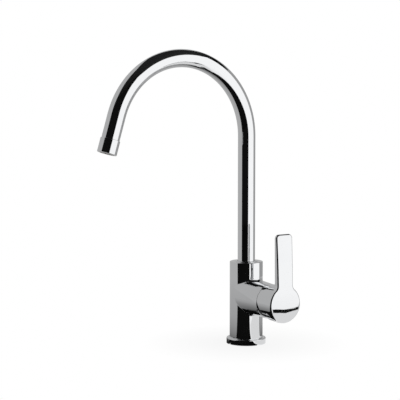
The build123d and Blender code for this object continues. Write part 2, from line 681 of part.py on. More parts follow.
# Spindle: square bar with a ball end that pushes the disc carrier
with BuildPart() as spindle:
    with BuildSketch(arm_plane.offset(bar_x)):
        Rectangle(SPINDLE_WIDTH, SPINDLE_WIDTH)
    extrude(amount=SPINDLE_FRONT - bar_x)
    chamfer(spindle.faces().sort_by(Axis.X)[-1].edges(), length=SPINDLE_CHAMFER)
    with BuildSketch(arm_plane.offset(ball_x)):
        Circle(SPINDLE_NECK_RADIUS)
    extrude(amount=bar_x - ball_x)
    with Locations((ball_x, 0, ARM_AXIS_HEIGHT)):
        Sphere(SPINDLE_BALL_RADIUS)
    with BuildSketch(pivot_plane):
        Circle(PIVOT_PIN_RADIUS + RUN)
    extrude(amount=SPINDLE_WIDTH, both=True, mode=Mode.SUBTRACT)
spindle.part.label = "spindle"
export_step(spindle.part, "parts/spindle.step")

# Moving ceramic disc and the carrier that pushes it
with BuildPart() as moving_disc:
    with BuildSketch(arm_plane.offset(moving_x)):
        Circle(MOVING_DISC_RADIUS)
    extrude(amount=MOVING_DISC_HEIGHT)
    with BuildSketch(arm_plane.offset(moving_x)):
        with Locations((0, -MIXING_DROP)):
            RectangleRounded(MIXING_WIDTH, MIXING_HEIGHT, MIXING_CORNER)
    extrude(amount=MIXING_DEPTH, mode=Mode.SUBTRACT)
moving_disc.part.label = "moving_ceramic_disc"
export_step(moving_disc.part, "parts/moving_ceramic_disc.step")

with BuildPart() as carrier:
    with BuildSketch(arm_plane.offset(moving_end_x)):
        Circle(MOVING_DISC_RADIUS)
    extrude(amount=CARRIER_HEIGHT)
    with BuildSketch(arm_plane.offset(moving_end_x + CARRIER_FLOOR)):
        Circle(SPINDLE_BALL_RADIUS + LOOSE)
    extrude(amount=CARRIER_HEIGHT, mode=Mode.SUBTRACT)
carrier.part.label = "disc_carrier"
export_step(carrier.part, "parts/disc_carrier.step")

# Lever: hub and blade in one casting, hollow behind
fall_depth = hub_radius - FRONT_FLAT_HALF
fall_radius = (fall_depth**2 + FRONT_FALL**2) / (2 * FRONT_FALL)
fall_centre_x = HUB_FRONT - fall_radius
fall_angle = math.asin((fall_depth + FRONT_EDGE) / fall_radius)
fall_middle = (
    fall_centre_x + fall_radius * math.cos(fall_angle / 2),
    -FRONT_FLAT_HALF - fall_radius * math.sin(fall_angle / 2),
)
fall_end = (
    fall_centre_x + fall_radius * math.cos(fall_angle),
    -FRONT_FLAT_HALF - fall_radius * math.sin(fall_angle),
)
lean_rise = BLADE_TOP - FRONT_FLAT_HALF
lean_radius = (lean_rise**2 + FRONT_LEAN**2) / (2 * FRONT_LEAN)
lean_centre_x = HUB_FRONT - lean_radius
lean_angle = math.asin((lean_rise + CUT_BEYOND) / lean_radius)
lean_middle = (
    lean_centre_x + lean_radius * math.cos(lean_angle / 2),
    FRONT_FLAT_HALF + lean_radius * math.sin(lean_angle / 2),
)
lean_end = (
    lean_centre_x + lean_radius * math.cos(lean_angle),
    FRONT_FLAT_HALF + lean_radius * math.sin(lean_angle),
)
blade_lean = (BLADE_THICK_ROOT - BLADE_THICK_TOP) / (BLADE_TOP - hub_radius)
with BuildPart() as lever:
    with BuildSketch(arm_plane.offset(HUB_FRONT)) as lever_front:
        Circle(hub_radius)
        Polygon(
            (-BLADE_HALF_WIDTH_TOP, BLADE_TOP),
            (-BLADE_HALF_WIDTH_ROOT, 0),
            (BLADE_HALF_WIDTH_ROOT, 0),
            (BLADE_HALF_WIDTH_TOP, BLADE_TOP),
            align=None,
        )
        fillet(lever_front.vertices().group_by(Axis.Y)[-1], radius=BLADE_CORNER)
        blade_roots = lever_front.vertices().filter_by_position(
            Axis.Y, hub_radius / 2, BLADE_TOP / 2
        )
        fillet(blade_roots, radius=BLADE_ROOT_FILLET)
    extrude(amount=rim_x - HUB_FRONT)
    with BuildSketch(arm_side):
        Polygon(
            (blade_back_root - blade_lean * (2 * hub_radius + CUT_BEYOND), -hub_radius - CUT_BEYOND),
            (blade_back_top + blade_lean * CUT_BEYOND, BLADE_TOP + CUT_BEYOND),
            (0, BLADE_TOP + CUT_BEYOND),
            (0, -hub_radius - CUT_BEYOND),
            align=None,
        )
    extrude(amount=hub_radius + CUT_BEYOND, both=True, mode=Mode.SUBTRACT)
    fillet(lever.faces().sort_by(Axis.X)[0].edges(), radius=HUB_EDGE)
    with BuildSketch(arm_side):
        Polygon(
            (rim_x, 0),
            (rim_x, hub_rim_radius),
            (blade_back_root, hub_radius),
            (HUB_FRONT, hub_radius),
            (HUB_FRONT, 0),
            align=None,
        )
    revolve(axis=arm_axis)
    with BuildSketch(arm_side):
        with BuildLine():
            ThreePointArc((HUB_FRONT, -FRONT_FLAT_HALF), fall_middle, fall_end)
            Polyline(
                fall_end,
                (HUB_FRONT + CUT_BEYOND, fall_end[1]),
                (HUB_FRONT + CUT_BEYOND, -FRONT_FLAT_HALF),
                (HUB_FRONT, -FRONT_FLAT_HALF),
            )
        make_face()
    extrude(amount=hub_radius + CUT_BEYOND, both=True, mode=Mode.SUBTRACT)
    with BuildSketch(arm_side):
        with BuildLine():
            ThreePointArc((HUB_FRONT, FRONT_FLAT_HALF), lean_middle, lean_end)
            Polyline(
                lean_end,
                (HUB_FRONT + CUT_BEYOND, lean_end[1]),
                (HUB_FRONT + CUT_BEYOND, FRONT_FLAT_HALF),
                (HUB_FRONT, FRONT_FLAT_HALF),
            )
        make_face()
    extrude(amount=hub_radius + CUT_BEYOND, both=True, mode=Mode.SUBTRACT)
    front_edges = [
        edge
        for edge in lever.edges()
        if edge.bounding_box().min.X > HUB_FRONT - max(FRONT_FALL, FRONT_LEAN) - HUB_EDGE
        and (edge.geom_type != GeomType.LINE or edge.center().Z > ARM_AXIS_HEIGHT + hub_radius)
    ]
    fillet(front_edges, radius=FRONT_EDGE)
    with BuildSketch(arm_side):
        Polygon(
            (rim_x, HEEL_RISE),
            (rim_x + heel_slope * (HEEL_RISE + hub_radius + CUT_BEYOND), -hub_radius - CUT_BEYOND),
            (0, -hub_radius - CUT_BEYOND),
            (0, HEEL_RISE),
            align=None,
        )
    extrude(amount=hub_radius + CUT_BEYOND, both=True, mode=Mode.SUBTRACT)
    rim_faces = lever.faces().filter_by(GeomType.PLANE).sort_by(Axis.X)[:2]
    rim_edges = [edge for edge in rim_faces.edges() if edge.geom_type != GeomType.LINE]
    fillet(rim_edges, radius=RIM_EDGE)
    with BuildSketch(arm_side):
        with Locations((pivot_x, 0)):
            Circle(cup_radius)
        Polygon(
            (pivot_x, BOSS_RADIUS),
            (cup_front_x, BOSS_RADIUS),
            (cup_front_x, hub_radius - HUB_WALL),
            (pivot_x, hub_radius - HUB_WALL),
            align=None,
        )
        with Locations((pivot_x, 0)):
            Rectangle(
                2 * cup_radius + CUT_BEYOND,
                cup_radius + CUT_BEYOND,
                align=(Align.CENTER, Align.MAX),
                mode=Mode.SUBTRACT,
            )
    revolve(axis=arm_axis, mode=Mode.SUBTRACT)
    with BuildSketch(arm_plane.offset(rim_x)):
        Rectangle(SPINDLE_WIDTH + 2 * RUN, SPINDLE_WIDTH + 2 * RUN)
    extrude(amount=SPINDLE_FRONT + LOOSE - rim_x, mode=Mode.SUBTRACT)
    with BuildSketch(lever_screw_plane):
        Circle(LEVER_SCREW_RADIUS + SNUG)
    extrude(amount=hub_radius + CUT_BEYOND, mode=Mode.SUBTRACT)
    with BuildSketch(lever_screw_plane.offset(plug_top)):
        Circle(PLUG_RADIUS + SNUG)
    extrude(amount=hub_radius, mode=Mode.SUBTRACT)
lever.part.label = "lever_handle"
export_step(lever.part, "parts/lever_handle.step")

# Grub screw that clamps the lever on the spindle, and the plug over its hole
screw_start = half_spindle + RUN
screw_end = screw_start + LEVER_SCREW_LENGTH
with BuildPart() as lever_screw:
    with BuildSketch(lever_screw_plane.offset(screw_start)):
        Circle(LEVER_SCREW_RADIUS)
    extrude(amount=LEVER_SCREW_LENGTH)
    with BuildSketch(lever_screw_plane.offset(screw_end - SOCKET_DEPTH)):
        RegularPolygon(SOCKET_ACROSS_FLATS / 2, 6, major_radius=False)
    extrude(amount=SOCKET_DEPTH, mode=Mode.SUBTRACT)
lever_screw.part.label = "lever_grub_screw"
export_step(lever_screw.part, "parts/lever_grub_screw.step")

with BuildPart() as screw_plug:
    with BuildSketch(lever_screw_plane.offset(plug_top)):
        Circle(PLUG_RADIUS)
    extrude(amount=PLUG_HEIGHT)
screw_plug.part.label = "screw_plug"
export_step(screw_plug.part, "parts/screw_plug.step")
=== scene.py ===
# %% [markdown]
# A chrome kitchen mixer tap in a small studio. The solids come packed, in metres, and each sits at the
# origin with its place in its mesh. This lesson gives every solid a finish, grows the pieces that follow
# a rule with Geometry Nodes, and then builds the studio, because polished chrome has no colour of its
# own: nearly everything that the eye sees on it is the room around it.

# %% The packed tap
import math

import bmesh
import bpy
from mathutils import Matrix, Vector


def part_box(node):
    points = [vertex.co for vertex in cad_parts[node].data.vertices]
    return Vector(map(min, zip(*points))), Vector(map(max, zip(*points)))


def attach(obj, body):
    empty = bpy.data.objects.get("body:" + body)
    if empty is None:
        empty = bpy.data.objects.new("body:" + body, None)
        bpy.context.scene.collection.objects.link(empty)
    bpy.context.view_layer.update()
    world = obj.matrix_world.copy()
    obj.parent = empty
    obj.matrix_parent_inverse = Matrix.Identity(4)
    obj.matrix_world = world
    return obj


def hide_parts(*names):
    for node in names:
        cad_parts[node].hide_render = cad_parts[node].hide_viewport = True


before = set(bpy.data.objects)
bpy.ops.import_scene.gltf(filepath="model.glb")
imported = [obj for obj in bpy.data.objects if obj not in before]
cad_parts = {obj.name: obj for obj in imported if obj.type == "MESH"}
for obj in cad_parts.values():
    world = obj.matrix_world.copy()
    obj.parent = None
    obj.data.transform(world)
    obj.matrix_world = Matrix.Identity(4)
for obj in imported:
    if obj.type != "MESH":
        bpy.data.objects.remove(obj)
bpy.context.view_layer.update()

MM = 0.001
scene = bpy.context.scene
scene.view_settings.view_transform = "Standard"

# %% [markdown]
# The photograph was taken from low down and far away with a long lens, so upright edges stay parallel.
# The camera could be placed by eye, but its place here was worked out from the tap's own outline: the
# tube's width gives the distance, and the slope of the arm gives the height.

# %% Camera
CAMERA_PLACE = Vector((1.3473, -0.9705, 0.3261))
CAMERA_LOOK = Vector((-0.8285, 0.5532, -0.0859))
CAMERA_LENS = 118.17
CAMERA_SENSOR = 36.0

camera_data = bpy.data.cameras.new("photo_camera")
camera_data.lens = CAMERA_LENS
camera_data.sensor_width = CAMERA_SENSOR
camera = bpy.data.objects.new("photo_camera", camera_data)
camera.location = CAMERA_PLACE
camera.rotation_euler = CAMERA_LOOK.to_track_quat("-Z", "Y").to_euler()
scene.collection.objects.link(camera)
scene.camera = camera
print("camera stands", round(CAMERA_PLACE.length, 2), "m away")

# %% [markdown]
# Node trees read best as ordinary sums. A wire holds one output of a tree, and each sign between two
# wires adds a Math node. Every other node comes from one method, which takes its type, its settings and
# what goes into its sockets. The same class serves shader trees and Geometry Nodes trees.


# %% Sums of wires
class Wire:
    """One output of a node tree. A sum of wires and numbers adds Math nodes to that tree."""

    def __init__(self, tree, socket=None):
        self.tree = tree
        self.socket = socket

    def node(self, kind, settings=None, inputs=None, output=0):
        added = self.tree.nodes.new(kind)
        for name, value in (settings or {}).items():
            if name == "stops":
                set_stops(added.color_ramp.elements, value)
            else:
                setattr(added, name, value)
        for name, value in (inputs or {}).items():
            if isinstance(value, Wire):
                self.tree.links.new(value.socket, added.inputs[name])
            else:
                added.inputs[name].default_value = value
        return Wire(self.tree, added.outputs[output])

    def math(self, operation, first, second=0.0):
        return self.node("ShaderNodeMath", {"operation": operation}, {0: first, 1: second})

    def __add__(self, other):
        return self.math("ADD", self, other)

    def __sub__(self, other):
        return self.math("SUBTRACT", self, other)

    def __rsub__(self, other):
        return self.math("SUBTRACT", other, self)

    def __mul__(self, other):
        return self.math("MULTIPLY", self, other)

    def __truediv__(self, other):
        return self.math("DIVIDE", self, other)

    __radd__ = __add__
    __rmul__ = __mul__


def set_stops(elements, stops):
    """Gives a colour ramp its stops, each a place from 0 to 1 and a grey level."""
    while len(elements) < len(stops):
        elements.new(1.0)
    for element, (place, level) in zip(elements, stops):
        element.position = place
        element.color = (level, level, level, 1.0)


print("moves that a wire knows:", [name for name in vars(Wire) if callable(vars(Wire)[name])])

# %% [markdown]
# Every finish begins and ends in the same way. It begins as a material with its shader and the piece's
# own Object coordinates, which stay with the piece when it moves. At the end its wires are joined to the
# shader's sockets, and its nodes are counted.


# %% How a finish begins and ends
def new_finish(name, metallic=0.0):
    """An empty material, its shader, and the wire of the piece's own coordinates."""
    material = bpy.data.materials.new(name)
    material.use_nodes = True
    shader = material.node_tree.nodes["Principled BSDF"]
    shader.inputs["Metallic"].default_value = metallic
    place = Wire(material.node_tree).node("ShaderNodeTexCoord", output="Object")
    return material, shader, place


def feed(shader, **wires):
    """Joins wires to the shader's sockets; an underscore stands for a space."""
    for name, wire in wires.items():
        wire.tree.links.new(wire.socket, shader.inputs[name.replace("_", " ")])


def announce(material):
    """Says how many nodes a finish took, and hands it on."""
    print("finish", material.name, "has", len(material.node_tree.nodes), "nodes")
    return material


print("plain materials that came with the solids:", len(bpy.data.materials))

# %% [markdown]
# What varies over a finish is noise: clouds for haze and grain, and streaks for brushing and turning. A
# painted picture could give that too, but noise has no edges and never repeats. Grain sizes are given in
# millimetres, as a maker would, and turned into the noise scale in one place.

# %% Noise, colour and bump
# A Mix node has sockets for every kind of value, and these numbers pick out its colours.
COLOUR_LOW = 6
COLOUR_HIGH = 7
COLOUR_OUT = 2


def cloud(place, grain_mm, detail=2.0):
    """Soft noise with blotches about this many millimetres across."""
    inputs = {"Vector": place, "Scale": 1.0 / (grain_mm * MM), "Detail": detail}
    return place.node("ShaderNodeTexNoise", inputs=inputs)


def stretch(place, along):
    """Coordinates squeezed on each axis, so that a cloud turns into streaks."""
    return place.node("ShaderNodeMapping", inputs={"Vector": place, "Scale": along})


def two_colours(factor, low, high):
    inputs = {"Factor": factor, COLOUR_LOW: (*low, 1.0), COLOUR_HIGH: (*high, 1.0)}
    return factor.node("ShaderNodeMix", {"data_type": "RGBA"}, inputs, COLOUR_OUT)


def relief(height, depth_mm):
    """A bump whose full height is this many millimetres."""
    return height.node("ShaderNodeBump", inputs={"Height": height, "Distance": depth_mm * MM})


print("a grain of 1 mm is a noise scale of", 1.0 / MM)

# %% [markdown]
# Chrome plate is bright nickel and chromium on a brass casting that was ground and buffed. A perfect
# mirror looks like a drawing of metal, so three faint things are added: a slow haze left by wiping, the
# hairlines of the buffing wheel, and a ripple of a few thousandths of a millimetre that makes straight
# reflections waver a little. The base colour stays below white, as chromium is slightly grey.

# %% Chrome plate
CHROME_DARK = (0.795, 0.803, 0.815)
CHROME_BRIGHT = (0.835, 0.841, 0.85)
BUFFING_STREAKS = (1.0, 1.0, 0.08)
CHROME_POLISH = 0.012
HAZE_DULLS = 0.022
HAIRLINES_DULL = 0.018


def chrome_plate():
    material, shader, place = new_finish("chrome_plate", metallic=1.0)
    haze = cloud(place, grain_mm=26.0, detail=3.0)
    hairlines = cloud(stretch(place, BUFFING_STREAKS), grain_mm=0.5)
    ripple = cloud(place, grain_mm=18.0, detail=1.0)
    feed(
        shader,
        Base_Color=two_colours(haze, CHROME_DARK, CHROME_BRIGHT),
        Roughness=CHROME_POLISH + haze * HAZE_DULLS + hairlines * HAIRLINES_DULL,
        Normal=relief(ripple, depth_mm=0.02),
    )
    return material


CHROME = announce(chrome_plate())

# %% [markdown]
# The nut, the spigot and the spindle are turned from brass bar and left unplated. A lathe leaves fine
# rings, which a wave along the axis could draw, but these pieces lie along two different axes, so the
# rings are streaked noise instead, and the colour drifts where the metal has begun to tarnish.

# %% Turned brass
BRASS_TARNISHED = (0.58, 0.39, 0.15)
BRASS_FRESH = (0.80, 0.60, 0.30)
TURNING_STREAKS = (0.06, 0.06, 1.0)
BRASS_POLISH = 0.16
TARNISH_DULLS = 0.16
RINGS_DULL = 0.1


def turned_brass():
    material, shader, place = new_finish("turned_brass", metallic=1.0)
    tarnish = cloud(place, grain_mm=5.0, detail=4.0)
    rings = cloud(stretch(place, TURNING_STREAKS), grain_mm=0.3)
    feed(
        shader,
        Base_Color=two_colours(tarnish, BRASS_TARNISHED, BRASS_FRESH),
        Roughness=BRASS_POLISH + tarnish * TARNISH_DULLS + rings * RINGS_DULL,
        Normal=relief(rings, depth_mm=0.02),
    )
    return material


BRASS = announce(turned_brass())

# %% [markdown]
# Screws, the pivot pin and the sieve are stainless steel, drawn or stamped and then tumbled. That gives
# a greyer metal than chrome, with short scratches in every direction and a soft, broken shine.

# %% Tumbled stainless steel
STEEL_DARK = (0.46, 0.45, 0.44)
STEEL_BRIGHT = (0.62, 0.62, 0.61)
STEEL_POLISH = 0.2
SCRATCHES_DULL = 0.14
PATCHES_DULL = 0.06


def tumbled_steel():
    material, shader, place = new_finish("tumbled_steel", metallic=1.0)
    scratches = cloud(place, grain_mm=0.25, detail=4.0)
    patches = cloud(place, grain_mm=2.5)
    feed(
        shader,
        Base_Color=two_colours(patches, STEEL_DARK, STEEL_BRIGHT),
        Roughness=STEEL_POLISH + scratches * SCRATCHES_DULL + patches * PATCHES_DULL,
        Normal=relief(scratches, depth_mm=0.006),
    )
    return material


STEEL = announce(tumbled_steel())

# %% [markdown]
# The two valve discs are alumina, lapped flat until they seal against each other. Fired alumina is an
# ivory white with a faint speckle, and the lapping leaves it smooth but not glossy.

# %% Lapped ceramic
ALUMINA_SHADE = (0.70, 0.67, 0.61)
ALUMINA_WHITE = (0.82, 0.80, 0.76)
ALUMINA_POLISH = 0.16
SPECKLE_DULLS = 0.12


def lapped_ceramic():
    material, shader, place = new_finish("lapped_ceramic")
    speckle = cloud(place, grain_mm=0.35, detail=5.0)
    feed(
        shader,
        Base_Color=two_colours(speckle, ALUMINA_SHADE, ALUMINA_WHITE),
        Roughness=ALUMINA_POLISH + speckle * SPECKLE_DULLS,
        Normal=relief(speckle, depth_mm=0.003),
    )
    return material


CERAMIC = announce(lapped_ceramic())

# %% [markdown]
# The cartridge, the spout's bush and thrust washer, and the aerator's insert are moulded acetal. It is a
# waxy off-white with cloudy flow marks and the fine spark-eroded grain of the mould. The plug in the
# lever is moulded in grey. The dome behind the hub is black plastic made almost black as painted shade,
# standing for the shadow in the recess under the hub. One function makes all three, from two tones and
# a grain.

# %% Moulded plastics
ACETAL_SHADE = (0.62, 0.61, 0.57)
ACETAL_LIGHT = (0.74, 0.73, 0.69)
PLUG_SHADE = (0.27, 0.27, 0.28)
PLUG_LIGHT = (0.34, 0.34, 0.35)
# The dome's near-black is painted shade: it stands for the shadow in the recess behind the hub.
DOME_PAINTED_SHADE_DARK = (0.010, 0.010, 0.011)
DOME_PAINTED_SHADE_PALE = (0.020, 0.020, 0.021)
PLASTIC_POLISH = 0.34
FLOW_DULLS = 0.08
GRAIN_DULLS = 0.1


def moulded_plastic(name, shade, light, grain_mm):
    material, shader, place = new_finish(name)
    flow = cloud(place, grain_mm=6.0, detail=3.0)
    grain = cloud(place, grain_mm=grain_mm, detail=3.0)
    feed(
        shader,
        Base_Color=two_colours(flow, shade, light),
        Roughness=PLASTIC_POLISH + flow * FLOW_DULLS + grain * GRAIN_DULLS,
        Normal=relief(grain, depth_mm=0.012),
    )
    return material


ACETAL = announce(moulded_plastic("moulded_acetal", ACETAL_SHADE, ACETAL_LIGHT, grain_mm=0.3))
PLUG_GREY = announce(moulded_plastic("plug_plastic", PLUG_SHADE, PLUG_LIGHT, grain_mm=0.2))
DOME_BLACK_AS_PAINTED_SHADE = announce(moulded_plastic("dome_plastic_painted_shade", DOME_PAINTED_SHADE_DARK, DOME_PAINTED_SHADE_PALE, grain_mm=0.2))

# %% [markdown]
# The gasket, the seals, the O-rings and the aerator's washer are black nitrile rubber. New rubber is
# nearly black with a dull shine, and a grey bloom comes up in patches as the wax works its way out, so
# the colour and the gloss vary together.

# %% Seal rubber
RUBBER_BLACK = (0.016, 0.016, 0.017)
RUBBER_BLOOM = (0.055, 0.055, 0.057)
RUBBER_POLISH = 0.5
BLOOM_DULLS = 0.22


def seal_rubber():
    material, shader, place = new_finish("seal_rubber_black")
    bloom = cloud(place, grain_mm=3.0, detail=4.0)
    skin = cloud(place, grain_mm=0.15)
    feed(
        shader,
        Base_Color=two_colours(bloom, RUBBER_BLACK, RUBBER_BLOOM),
        Roughness=RUBBER_POLISH + bloom * BLOOM_DULLS,
        Normal=relief(skin, depth_mm=0.01),
    )
    return material


RUBBER = announce(seal_rubber())

# %% [markdown]
# The record names a material slot for every solid, and the packed model carries it as a plain material
# of the same name. Each solid keeps its slot, and the finish made above takes the plain material's
# place.

# %% Handing out the finishes
FINISHES = {
    "polished_chrome": CHROME,
    "brass": BRASS,
    "stainless_steel": STEEL,
    "ceramic": CERAMIC,
    "cartridge_plastic": ACETAL,
    "grey_plastic": PLUG_GREY,
    # The black dome is painted shade for the recess behind the hub.
    "black_plastic": DOME_BLACK_AS_PAINTED_SHADE,
    "seal_rubber": RUBBER,
}
finished = {name: 0 for name in FINISHES}
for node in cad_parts.values():
    slot = node.material_slots[0]
    slot_name = slot.material.name
    slot.material = FINISHES[slot_name]
    finished[slot_name] += 1
print("solids in each finish:", finished)

# %% [markdown]
# A piece that follows a rule is grown by a Geometry Nodes tree. Such a tree begins with a named input
# for each size, and it ends by making its copies real and giving them their finish.


# %% How a rule begins and ends
def new_rule(name, sizes):
    """An empty Geometry Nodes tree with these inputs, and a wire for each of them."""
    tree = bpy.data.node_groups.new(name, "GeometryNodeTree")
    tree.interface.new_socket("Geometry", in_out="OUTPUT", socket_type="NodeSocketGeometry")
    for label in sizes:
        tree.interface.new_socket(label, in_out="INPUT", socket_type="NodeSocketFloat")
    given = tree.nodes.new("NodeGroupInput")
    return tree, {label: Wire(tree, given.outputs[label]) for label in sizes}


def end_rule(tree, shape, material):
    """Realises the shape, gives it its finish and joins it to the tree's output."""
    real = shape.node("GeometryNodeRealizeInstances", inputs={"Geometry": shape})
    inputs = {"Geometry": real, "Material": material}
    dressed = shape.node("GeometryNodeSetMaterial", inputs=inputs)
    out = tree.nodes.new("NodeGroupOutput")
    tree.links.new(dressed.socket, out.inputs["Geometry"])


print("rules so far:", len(bpy.data.node_groups))

# %% [markdown]
# To grow a piece, a modifier gets its sizes by socket identifier before anything is evaluated. Then the
# result is taken out as a plain mesh, its seam is merged and its faces are turned outwards. No modifier
# is left on the piece.

# %% Growing a piece from a rule
MERGE_DISTANCE = 0.0005 * MM
SHARP_ANGLE = math.radians(40.0)


def grow(name, tree, sizes):
    """A plain mesh object, grown by the tree with these sizes."""
    piece = bpy.data.objects.new(name, bpy.data.meshes.new(name + "_seed"))
    scene.collection.objects.link(piece)
    modifier = piece.modifiers.new("rule", "NODES")
    modifier.node_group = tree
    for item in tree.interface.items_tree:
        if item.in_out == "INPUT":
            modifier[item.identifier] = sizes[item.name]
    graph = bpy.context.evaluated_depsgraph_get()
    grown = bpy.data.meshes.new_from_object(piece.evaluated_get(graph), depsgraph=graph)
    piece.modifiers.clear()
    piece.data = grown
    shape = bmesh.new()
    shape.from_mesh(grown)
    bmesh.ops.remove_doubles(shape, verts=shape.verts, dist=MERGE_DISTANCE)
    bmesh.ops.recalc_face_normals(shape, faces=shape.faces)
    shape.to_mesh(grown)
    shape.free()
    grown.shade_smooth()
    grown.set_sharp_from_angle(angle=SHARP_ANGLE)
    print(name, "has", len(grown.polygons), "faces")
    return piece


print("seams merge within", MERGE_DISTANCE / MM, "mm")

# %% [markdown]
# The gooseneck is one drawn tube: up from the barrel, round an arc of 163 degrees, and a short straight
# run to the outlet. A bevelled curve would do, but a rule is exact and gives an even grid of faces,
# which a mirror finish needs. A flat grid is bent by a formula: its columns go round the tube, and its
# rows go up the outside of the wall and back down the inside, so the wall and both ends close by
# themselves.

# %% The gooseneck's rule
TUBE_ROWS = 260
TUBE_COLUMNS = 120
ROW_LENGTH = TUBE_COLUMNS + 1
# Halfway from the last row outside to the first row inside, where the rows turn back.
TURN_BACK = TUBE_ROWS - 0.5
TUBE_SIZES = ["Foot", "Straight", "Arc Radius", "Arc Angle", "Tip", "Outer Radius", "Bore Radius"]

tube_tree, size = new_rule("gooseneck_rule", TUBE_SIZES)
wire = Wire(tube_tree)
grid_inputs = {"Vertices X": 2 * TUBE_ROWS + 1, "Vertices Y": ROW_LENGTH}
grid = wire.node("GeometryNodeMeshGrid", inputs=grid_inputs)
index = wire.node("GeometryNodeInputIndex")
grid_row = wire.math("FLOOR", index / ROW_LENGTH)
column = index - grid_row * ROW_LENGTH
row = wire.math("MODULO", grid_row, 2.0 * TUBE_ROWS)
inside = wire.math("GREATER_THAN", row, TURN_BACK)
step = wire.math("PINGPONG", row, TURN_BACK)
print("a grid of", 2 * TUBE_ROWS, "by", TUBE_COLUMNS, "faces")

# %% [markdown]
# A row's distance along the tube says how much of the climb, the arc and the straight tip lies behind
# it. A curve could be drawn and sampled for that, but then the arc would be made of chords. Here three
# runs, each cut off at its ends by a minimum or a maximum, add up to the exact path.

# %% The gooseneck's path
length = size["Straight"] + size["Arc Radius"] * size["Arc Angle"] + size["Tip"]
along = step * length / (TUBE_ROWS - 1.0)
climb = wire.math("MINIMUM", along, size["Straight"])
bend = wire.math("MAXIMUM", (along - size["Straight"]) / size["Arc Radius"], 0.0)
bend = wire.math("MINIMUM", bend, size["Arc Angle"])
run = wire.math("MAXIMUM", along - length + size["Tip"], 0.0)
sine = wire.math("SINE", bend)
cosine = wire.math("COSINE", bend)
path_out = size["Arc Radius"] * (1.0 - cosine) + run * sine
path_up = size["Foot"] + climb + size["Arc Radius"] * sine + run * cosine
print("nodes so far:", len(tube_tree.nodes))

# %% [markdown]
# The skin is a circle set square to the path. A tube that bends in one plane keeps one axis of that
# circle level, so the other axis needs only the sine and the cosine of the bend, and no frame has to be
# carried along the path.

# %% The gooseneck's skin
turn = column * (2.0 * math.pi / TUBE_COLUMNS)
radius = size["Outer Radius"] + inside * (size["Bore Radius"] - size["Outer Radius"])
across = radius * wire.math("COSINE", turn)
outward = radius * wire.math("SINE", turn)
spot_inputs = {"X": across, "Y": outward * cosine - path_out, "Z": path_up + outward * sine}
spot = wire.node("ShaderNodeCombineXYZ", inputs=spot_inputs)
bent = wire.node("GeometryNodeSetPosition", inputs={"Geometry": grid, "Position": spot})
end_rule(tube_tree, bent, FINISHES["polished_chrome"])
print("nodes in the whole rule:", len(tube_tree.nodes))

# %% [markdown]
# The real spout is a 22 mm brass pipe, bent round a former and plated. Its sizes here are the solid's
# own, with the foot read from the frame, and the grown tube takes the solid's place on the swivelling
# body.

# %% The gooseneck
TUBE_RADIUS = 11.0 * MM
TUBE_WALL = 1.2 * MM
ARC_START_HEIGHT = 264.0 * MM
ARC_RADIUS = 96.8 * MM
ARC_ANGLE = math.radians(163.0)
TIP_STRAIGHT = 39.8 * MM
tube_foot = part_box("spout_tube")[0][2]
gooseneck_sizes = {
    "Foot": tube_foot,
    "Straight": ARC_START_HEIGHT - tube_foot,
    "Arc Radius": ARC_RADIUS,
    "Arc Angle": ARC_ANGLE,
    "Tip": TIP_STRAIGHT,
    "Outer Radius": TUBE_RADIUS,
    "Bore Radius": TUBE_RADIUS - TUBE_WALL,
}
gooseneck = grow("gooseneck_tube", tube_tree, gooseneck_sizes)
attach(gooseneck, "spout")
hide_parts("spout_tube")

# %% [markdown]
# Under the tap are three threaded holes, two for the flexible hoses and one for the fixing stud. The
# solids have plain bores there. Each thread is a ridge with a three-sided section that winds up the
# bore, so one rule sweeps a triangle along a spiral and sets a copy at every hole of that size.

# %% The thread's rule
THREAD_SIZES = ["Radius", "Depth", "Turns", "Length", "Centre X", "First Y", "Spacing", "Holes"]
SPIRAL_STEPS = 48
SECTION_SIDES = 3

thread_tree, size = new_rule("thread_rule", THREAD_SIZES)
wire = Wire(thread_tree)
spiral_inputs = {
    "Resolution": SPIRAL_STEPS,
    "Rotations": size["Turns"],
    "Start Radius": size["Radius"],
    "End Radius": size["Radius"],
    "Height": size["Length"],
}
spiral = wire.node("GeometryNodeCurveSpiral", inputs=spiral_inputs)
section_inputs = {"Resolution": SECTION_SIDES, "Radius": size["Depth"]}
section = wire.node("GeometryNodeCurvePrimitiveCircle", inputs=section_inputs)
ridge_inputs = {"Curve": spiral, "Profile Curve": section, "Fill Caps": True}
ridge = wire.node("GeometryNodeCurveToMesh", inputs=ridge_inputs)
first_inputs = {"X": size["Centre X"], "Y": size["First Y"], "Z": size["Depth"]}
first_hole = wire.node("ShaderNodeCombineXYZ", inputs=first_inputs)
next_hole = wire.node("ShaderNodeCombineXYZ", inputs={"Y": size["Spacing"]})
hole_inputs = {"Count": size["Holes"], "Start Location": first_hole, "Offset": next_hole}
holes = wire.node("GeometryNodeMeshLine", {"mode": "OFFSET"}, hole_inputs)
threads = wire.node("GeometryNodeInstanceOnPoints", inputs={"Points": holes, "Instance": ridge})
end_rule(thread_tree, threads, FINISHES["brass"])
print("nodes in the thread's rule:", len(thread_tree.nodes))

# %% [markdown]
# A turn of these threads climbs about a millimetre. Both inlets have one size and lie across from each
# other, so they are one piece with two copies, and the stud's hole behind them has a piece of its own.

